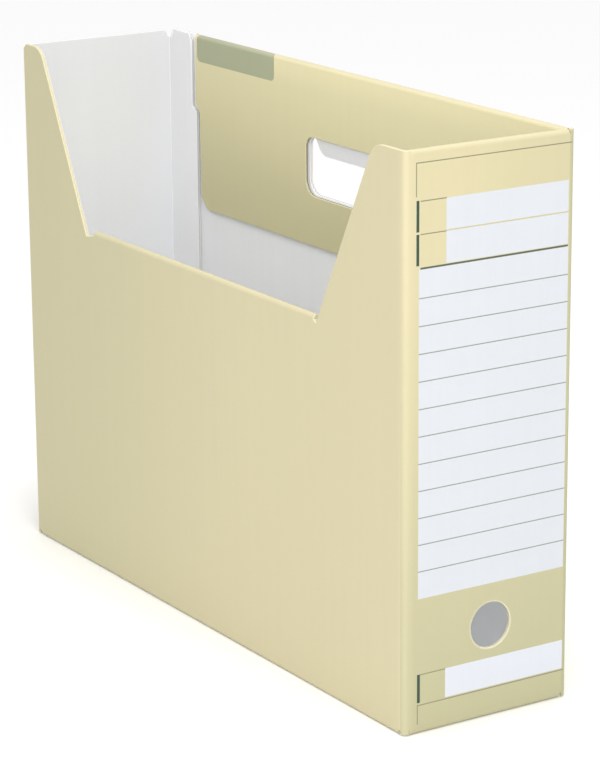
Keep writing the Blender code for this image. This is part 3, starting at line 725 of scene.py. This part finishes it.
# Frame at the top, two title fields with their bars, the long list field, and the foot field.
title_left, title_right = -26.5, 47.2
tab_left = -41.7
bar_left, bar_right = -44.1, -42.5
list_left, list_right = -42.5, 47.5
foot_left = -25.7
spine_print_and_light += [
    level(rule, -44.4, 49.1, 292.0, fine), upright(rule, -44.2, 275.5, 292.2, fine),
    field(white_field, title_left, title_right, 257.6, 273.2),
    field(white_field, title_left, title_right, 241.0, 256.8),
    level(rule, tab_left, title_left, 273.2, fine), level(rule, tab_left, title_left, 256.9, fine),
    level(gilt_rule, title_left, title_right, 257.2, fine),
    level(dark_rule, tab_left, title_right, 240.1, bold),
    field(bar, bar_left, bar_right, 258.2, 273.6), field(bar, bar_left, bar_right, 241.6, 257.0),
    field(white_field, list_left, list_right, 71.8, 239.5),
    field(foot_field, foot_left, 47.8, 16.3, 31.8), level(rule, -41.4, foot_left, 31.6, fine),
    field(bar, -42.9, -41.2, 16.75, 31.8), level(rule, -42.7, 49.0, 15.4, fine),
    upright(rule, -42.7, 5.3, 15.9, fine),
]
first_line = 225.3
line_pitch = 13.93
line_count = 11
spine_print_and_light += [level(pale_rule, list_left, list_right, first_line - line_pitch * line, fine)
                 for line in range(line_count)]
# Its second colour is that of wear and of painted highlight.
spine_liner = board_face("spine_liner", (0.60, 0.54, 0.335), (0.80, 0.74, 0.55), 0.48, spine_print_and_light)
core = board_core("cut_core", (0.72, 0.67, 0.47), (0.63, 0.58, 0.40))
spine_finishes = (spine_liner, core, white)

corner_bend = [(0.0, corner_radius, quarter)]
spine_flat = half_width - corner_radius - seam
post_seam = 0.6 * mm
spine_left = corner_radius + post_seam - half_width
turn = np.linspace(0.0, 2 * math.pi, 72, endpoint=False)
finger_hole = np.stack([finger_hole_across + finger_hole_radius * np.cos(turn),
                        finger_hole_up + finger_hole_radius * np.sin(turn)], axis=1)
spine_outline = rounded([
    (spine_left, notch_height), (spine_flat, notch_height),
    (spine_flat, rim_seam), (spine_left, rim_seam),
])
spine = cut_board("spine_board", spine_wall, spine_outline, spine_finishes, [finger_hole],
                  [(1, notch_height), (1, rim_seam), (0, spine_flat), (0, spine_left)])
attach(spine, "spine")
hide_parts("spine")

# Front corners. The board turns a quarter between the spine and each side in one soft crease, whose
# inner liner buckles into a low bead. It stays a post of board up to the top of the walls.
post_foot = 0.8 * mm
post = (post_foot, height)
# Share of wear and painted highlight on the crowns of the corner creases.
soft_wear_highlight = 0.1
front_bead = 0.3 * mm
front_right_fold = (0, 1, half_width - corner_radius, corner_bend)
front_left_fold = (0, -1, corner_radius - half_width, corner_bend)
for name, fold, body, start in (("front_right_crease", front_right_fold, "right_side", -seam),
                                ("front_left_crease", front_left_fold, "left_side", -post_seam)):
    strip = bent_board(name, spine_wall, fold, post, spine_finishes,
                       (start, bends_end(corner_bend) + seam), soft_wear_highlight, front_bead)
    hinge_between(strip, "spine", body, spine_wall, fold, height / 2, "cream_board")

# Rim of the spine. The top edge is folded inwards over a narrow crown into a short flap, so that no
# cut edge shows at the front.
cream_and_white = (cream, core, white)
spine_rim_fold = (1, 1, rim_line, rim_bends)
spine_crown = half_width - corner_radius - rim_slit
spine_rim_half = half_width - 16.0 * mm
spine_rim_low_half = spine_rim_half - 1.5 * mm
spine_rim_end = below_rim(height, 28.0 * mm)
flap_round = 6.0 * mm
spine_rim_outline = rounded([
    (-spine_rim_half, flap_start), (spine_rim_half, flap_start),
    (spine_rim_low_half, spine_rim_end, flap_round), (-spine_rim_low_half, spine_rim_end, flap_round),
])
spine_rim = cut_board("spine_rim_board", spine_wall, spine_rim_outline, cream_and_white, (),
                      [(1, flap_start)], spine_rim_fold)
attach(spine_rim, "spine_rim_flap")
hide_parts("spine_rim_flap")


def shouldered_crease(name, bodies, on_wall, fold, flap_half, wall_half, shoulder_end, wear_highlight_share, slot):
    """Crease that is wider on its wall than on its flap. Its middle spans the flap's width, and its two
    shoulders, which go only part of the way round, stay on the wall. Where middle and shoulder meet,
    their edges are hardly rounded."""
    flush = 0.02
    middle = bent_board(name + "_crease", on_wall, fold, (-flap_half, flap_half), cream_and_white, None,
                        wear_highlight_share, 0.0, (flush, flush))
    hinge_between(middle, *bodies, on_wall, fold, 0.0, slot)
    for side, span, cut in (("_low", (-wall_half, -flap_half), (1.0, flush)),
                            ("_high", (flap_half, wall_half), (flush, 1.0))):
        shoulder = bent_board(name + side + "_shoulder", on_wall, fold, span, cream_and_white,
                              (-seam, shoulder_end), wear_highlight_share, 0.0, cut)
        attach(shoulder, bodies[0])


# Share of wear and painted highlight on the rim crowns.
rim_wear_highlight = 0.25
shouldered_crease("spine_rim", ("spine", "spine_rim_flap"), spine_wall, spine_rim_fold, spine_rim_half,
                  spine_crown, rim_radius * quarter, rim_wear_highlight, "cream_flap")

# Left side. The near long wall is cut down in the middle by a wide opening with sloping ends, and a
# notch at each end of the opening's floor frees the rim that is folded inwards there.
cut_floor = 201.4 * mm
cut_rim_line = cut_floor - rim_radius
cut_rim_seam = cut_rim_line - seam
cut_notch = cut_floor - 3.8 * mm
front_mouth = half_depth - 26.8 * mm
front_base = front_mouth - 52.3 * mm
rear_mouth = half_depth - 22.0 * mm
rear_base = rear_mouth - 50.1 * mm
cut_rim_front = front_base - 2.4 * mm
cut_rim_rear = 8.5 * mm - rear_base
mouth_round = 12.0 * mm
notch_width = 1.6 * mm
notch_round = 0.5 * mm
left_flat = half_depth - corner_radius - seam
corner_dip = 3.0 * mm
wall_dip_reach = 5.2 * mm
bend_dip_reach = corner_run / 2 + seam
dip_points = 7


def dipped(top, reach, distance):
    """Top edge beside the rear left corner, in the middle of whose bend it lies lowest: the drop at a
    distance d from there is D (1 + cos(pi d / reach)) / 2."""
    share = np.clip(distance / reach, 0.0, 1.0)
    return top - corner_dip * (1.0 + np.cos(np.pi * share)) / 2


wall_dip = [(distance - bend_dip_reach - left_flat, float(dipped(height, wall_dip_reach, distance)))
            for distance in np.linspace(wall_dip_reach, bend_dip_reach, dip_points)]
left_outline = rounded([
    (-left_flat, notch_height), (left_flat, notch_height), (left_flat, height),
    (front_mouth, height, mouth_round), (front_base, cut_notch, notch_round),
    (cut_rim_front, cut_rim_seam), (cut_rim_rear, cut_rim_seam),
    (notch_width - rear_base, cut_notch, notch_round), (-rear_base, cut_notch, notch_round),
    (-rear_mouth, height, mouth_round), *wall_dip,
])
left_side = cut_board("left_side_board", left_wall, left_outline, cream_and_white, (),
                      [(1, notch_height), (1, cut_rim_seam), (0, left_flat), (0, -left_flat)])
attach(left_side, "left_side")
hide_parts("left_side")

# Rim of the cut-out. The floor of the opening is folded inwards like the spine's top edge.
left_rim_fold = (1, 1, cut_rim_line, rim_bends)
left_rim_start = cut_rim_line + bends_end(rim_bends) + seam
left_rim_end = below_rim(cut_floor, 32.0 * mm)
left_rim_taper = 10.0 * mm
left_rim_outline = rounded([
    (cut_rim_rear, left_rim_start), (cut_rim_front, left_rim_start),
    (cut_rim_front - left_rim_taper, left_rim_end, flap_round),
    (cut_rim_rear + left_rim_taper, left_rim_end, flap_round),
])
left_rim = cut_board("left_rim_board", left_wall, left_rim_outline, cream_and_white, (),
                     [(1, left_rim_start)], left_rim_fold)
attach(left_rim, "left_rim_flap")
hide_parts("left_rim_flap")
left_crown = bent_board("left_rim_crease", left_wall, left_rim_fold, (cut_rim_rear, cut_rim_front),
                        cream_and_white)
hinge_between(left_crown, "left_side", "left_rim_flap", left_wall, left_rim_fold, 0.0, "cream_flap")

# End panel. The narrow rear wall is plain, white inside with painted shade that darkens the whole
# white and grows towards its top, with a relief at its top where its bend towards the right side turns
# into the glue flap.
lap = board + 0.3 * mm
end_near = lap - half_width
end_seam = end_near + corner_radius + seam
end_top = height - 0.8 * mm
end_relief = height - 4.6 * mm
end_relief_width = 4.8 * mm
end_outline = rounded([
    (end_seam, notch_height), (spine_flat, notch_height), (spine_flat, end_top),
    (end_near + end_relief_width, end_top, top_round), (end_seam, end_relief),
])
# A darker copy of the white liner as painted shade, and painted shade growing towards the top.
panel_shaded_white = (0.827, 0.837, 0.862)
painted_top_shade = print_and_light_patch((0.60, 0.60, 0.60), everywhere, (height, 1.0), fade=90.0 * mm, cover=0.38)
white_panel = white_face("white_panel_liner", panel_shaded_white, [painted_top_shade])
end_panel = cut_board("end_panel_board", end_wall, end_outline, (cream, white_core, white_panel), (),
                      [(1, notch_height), (0, end_seam), (0, spine_flat)])
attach(end_panel, "end_panel")
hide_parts("end_panel")

# Rear corners. At the left the two walls' boards meet in the middle of the bend, and at the right the
# end panel's board turns inside the right side, where its white liner buckles into a low bead with a
# fine painted highlight along it.
half_corner = (-seam, corner_run / 2)
left_rear_fold = (0, -1, corner_radius - half_depth, corner_bend)
end_left_fold = (0, 1, half_width - corner_radius, corner_bend)
corner_tops = {
    "rear_left_crease": lambda along: dipped(height, wall_dip_reach, corner_run / 2 - along),
    "end_left_crease": lambda along: dipped(end_top, bend_dip_reach, corner_run / 2 - along),
}
for name, on_wall, fold, body in (("rear_left_crease", left_wall, left_rear_fold, "left_side"),
                                  ("end_left_crease", end_wall, end_left_fold, "end_panel")):
    strip = bent_board(name, on_wall, fold, (post_foot, corner_tops[name]), cream_and_white,
                       half_corner, soft_wear_highlight)
    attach(strip, body)
glue_fold = (0, -1, end_near + corner_radius, corner_bend)
buckle_line = end_wall[3] + end_near + corner_radius - corner_run / 2
buckle_half = 0.4 * mm
# A fine painted highlight along the bead of the buckled liner.
buckle_painted_highlight = print_and_light_patch((0.99, 0.99, 0.99), (buckle_line - buckle_half, buckle_line + buckle_half), everywhere,
                 fade=0.5 * mm, cover=0.9)
white_highlit = white_face("white_highlit_liner", panel_shaded_white, [painted_top_shade, buckle_painted_highlight])
rear_bead = 0.35 * mm
rear_right = bent_board("rear_right_crease", end_wall, glue_fold, (post_foot, end_relief),
                        (cream, white_core, white_highlit), None, soft_wear_highlight, rear_bead)
hinge_between(rear_right, "end_panel", "right_side", end_wall, glue_fold, height / 2, "white_board")

# Glue flap. The strip beyond the end panel's bend is bonded to the inner face of the right side. Its
# free edge steps back near the top, beside the folded-over flap, and its foot is cut off at an angle.
glue_flat = end_near + corner_radius - corner_run
glue_seam = glue_flat - seam
glue_edge = glue_flat - 29.3 * mm
glue_upper = glue_edge + 5.2 * mm
glue_relief = glue_flat - 3.5 * mm
glue_foot = 8.0 * mm
glue_foot_cut = 12.0 * mm
glue_top_cut = (2.4 * mm, 4.2 * mm)
glue_step_top = height - 43.0 * mm
glue_step_foot = height - 46.4 * mm
glue_step_round = 0.5 * mm
glue_outline = rounded([
    (glue_seam, glue_foot), (glue_seam, end_relief), (glue_relief, end_relief), (glue_relief, height),
    (glue_upper + glue_top_cut[0], height), (glue_upper, height - glue_top_cut[1]),
    (glue_upper, glue_step_top, glue_step_round), (glue_edge, glue_step_foot, glue_step_round),
    (glue_edge, glue_foot + glue_foot_cut), (glue_edge + glue_foot_cut, glue_foot),
])
# The glue flap's inner white carries the same painted shade towards its top.
white_glued = white_face("white_glued_liner", white_colour, [painted_top_shade])
glue_flap = cut_board("glue_flap_board", end_wall, glue_outline, (white, white_core, white_glued), (),
                      [(0, glue_seam)], glue_fold)
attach(glue_flap, "right_side")
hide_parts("glue_flap")

# Bottom. Each wall's foot is creased into a flap: those of the long walls meet in the middle and carry
# the box, and the short dust flaps of the narrow walls jog up by one board and lie on them.
foot_bend = [(0.0, foot_radius, quarter)]
foot_fold = (1, -1, foot_radius, foot_bend)
foot_seam = foot_radius - bends_end(foot_bend) - seam
corner_notch = 5.4 * mm
half_foot = foot_radius * quarter / 2
flap_gap = 0.6 * mm
major_reach = half_width - flap_gap / 2
major_edge = foot_radius - bends_end(foot_bend) - major_reach + foot_radius
major_half = half_depth - 14.0 * mm
# Share of wear and painted highlight on the foot creases.
foot_wear_highlight = 0.05
major_outline = rounded([
    (-major_half, major_edge, flap_round), (major_half, major_edge, flap_round),
    (major_half, foot_seam), (-major_half, foot_seam),
])
for name, on_wall, body in (("right", right_wall, "right_side"), ("left", left_wall, "left_side")):
    flap_body = "bottom_flap_" + name
    half_flap = cut_board("bottom_%s_board" % name, on_wall, major_outline, cream_and_white, (),
                          [(1, foot_seam)], foot_fold)
    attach(half_flap, flap_body)
    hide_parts(flap_body)
    shouldered_crease("foot_" + name, (body, flap_body), on_wall, foot_fold, major_half,
                      half_depth - corner_notch, half_foot, foot_wear_highlight, "cream_board")

jog_outer = 2.5 * mm
jog_inner = 0.5 * mm
jog_angle = math.radians(30.0)
jog_start = bends_end(foot_bend) + 3.0 * mm - foot_radius
jog_rise = board + rim_gap
jog_slope = (jog_rise - (jog_outer + jog_inner) * (1 - math.cos(jog_angle))) / math.sin(jog_angle)
dust_bends = foot_bend + [
    (jog_start, jog_outer, jog_angle),
    (jog_start + jog_outer * jog_angle + jog_slope, jog_inner, -jog_angle),
]
dust_reach = 0.39 * half_width
dust_taper = 2.2
dust_root = half_width - 4.0 * mm
dust_fold = (1, -1, foot_radius, dust_bends)
dust_end = bends_end(dust_bends) + dust_reach - 10.0 * mm


def dust_limit(middle, side):
    """Edge of a dust flap about its middle line, which narrows by the taper from its root on."""
    def limit(distance):
        return middle + side * (dust_root - middle - dust_taper * np.maximum(distance - jog_start, 0.0))
    return limit


for name, on_wall, body, middle, finishes in (
        ("spine", spine_wall, "spine", 0.0, spine_finishes),
        ("end", end_wall, "end_panel", lap / 2, cream_and_white)):
    flap_body = "bottom_flap_" + name
    strip = bent_board("foot_%s_crease" % name, on_wall, foot_fold,
                       (2 * middle - dust_root, dust_root), finishes, None, foot_wear_highlight)
    hinge_between(strip, body, flap_body, on_wall, foot_fold, middle, "cream_board")
    dust = bent_board("bottom_%s_board" % name, on_wall, dust_fold,
                      (dust_limit(middle, -1), dust_limit(middle, 1)), cream_and_white,
                      (bends_end(foot_bend) + seam, dust_end), 0.0)
    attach(dust, flap_body)
    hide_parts(flap_body)

# Floor and light. A pale sweep under the box, a warm soft light at the front left and a small one
# overhead, and a bright surround that is dimmer low down and on the far side, as on a photographer's
# table.
floor_mesh = bpy.data.meshes.new("floor")
floor_half = 6.0
floor_mesh.from_pydata([(-floor_half, -floor_half, 0.0), (floor_half, -floor_half, 0.0),
                        (floor_half, floor_half, 0.0), (-floor_half, floor_half, 0.0)], [],
                       [(0, 1, 2, 3)])
floor = bpy.data.objects.new("floor", floor_mesh)
bpy.context.scene.collection.objects.link(floor)
floor_paint = bpy.data.materials.new("floor_white")
floor_paint.use_nodes = True
floor_shader = floor_paint.node_tree.nodes["Principled BSDF"]
floor_shader.inputs["Base Color"].default_value = (0.97, 0.97, 0.97, 1.0)
floor_shader.inputs["Roughness"].default_value = 0.8
floor_mesh.materials.append(floor_paint)

world = bpy.data.worlds.new("studio")
bpy.context.scene.world = world
world.use_nodes = True
sky = world.node_tree
sky.nodes["Background"].inputs["Color"].default_value = (1.0, 1.0, 1.0, 1.0)
around = add_node(sky, "ShaderNodeTexCoord").outputs["Generated"]
direction = add_node(sky, "ShaderNodeSeparateXYZ", Vector=around)
far_side = (0.8, 0.6)
level_light, top_gain, far_loss = 0.68, 0.58, 0.35
rise = maths(sky, "MAXIMUM", direction.outputs["Z"], 0.0)
beyond = maths(sky, "MULTIPLY", direction.outputs["Y"], far_side[1])
beyond = maths(sky, "MULTIPLY_ADD", direction.outputs["X"], far_side[0], beyond)
bright = maths(sky, "MULTIPLY_ADD", rise, top_gain, level_light)
bright = maths(sky, "MULTIPLY_ADD", maths(sky, "MAXIMUM", beyond, 0.0), -far_loss, bright)
sky.links.new(bright, sky.nodes["Background"].inputs["Strength"])


def soft_light(name, place, target, width, power, colour=(1.0, 1.0, 1.0)):
    """Square soft box at a place, turned to a target."""
    lamp = bpy.data.lights.new(name, "AREA")
    lamp.size = width
    lamp.energy = power
    lamp.color = colour
    lit = bpy.data.objects.new(name, lamp)
    lit.location = place
    lit.rotation_euler = (Vector(target) - Vector(place)).to_track_quat("-Z", "Y").to_euler()
    bpy.context.scene.collection.objects.link(lit)


soft_light("key", (-0.45, -0.95, 0.8), (0.0, -0.05, 0.2), width=0.45, power=5.0,
           colour=(1.0, 0.985, 0.95))
soft_light("overhead", (0.0, -0.05, 1.3), (0.0, -0.05, 0.0), width=0.35, power=2.6)
bpy.context.scene.view_settings.view_transform = "Standard"

# Camera, at the photograph's place and angle. Its place is in metres, its heading is counted from +Y
# towards +X, and its dip and roll are in radians.
camera_place = Vector((-0.84737, -1.35323, 0.57755))
camera_heading = 0.5667
camera_dip = 0.27381
camera_roll = -0.00759
focal_pixels = 3011.64
long_side_pixels = 773.0
forward = Vector((math.sin(camera_heading) * math.cos(camera_dip),
                  math.cos(camera_heading) * math.cos(camera_dip), -math.sin(camera_dip)))
across = Vector((math.cos(camera_heading), -math.sin(camera_heading), 0.0))
upward = across.cross(forward)
right = across * math.cos(camera_roll) + upward * math.sin(camera_roll)
up = upward * math.cos(camera_roll) - across * math.sin(camera_roll)
lens = bpy.data.cameras.new("camera")
lens.sensor_width = 36.0
lens.lens = focal_pixels * lens.sensor_width / long_side_pixels
camera = bpy.data.objects.new("camera", lens)
camera.matrix_world = Matrix((
    (right.x, up.x, -forward.x, camera_place.x),
    (right.y, up.y, -forward.y, camera_place.y),
    (right.z, up.z, -forward.z, camera_place.z),
    (0.0, 0.0, 0.0, 1.0),
))
bpy.context.scene.collection.objects.link(camera)
bpy.context.scene.camera = camera
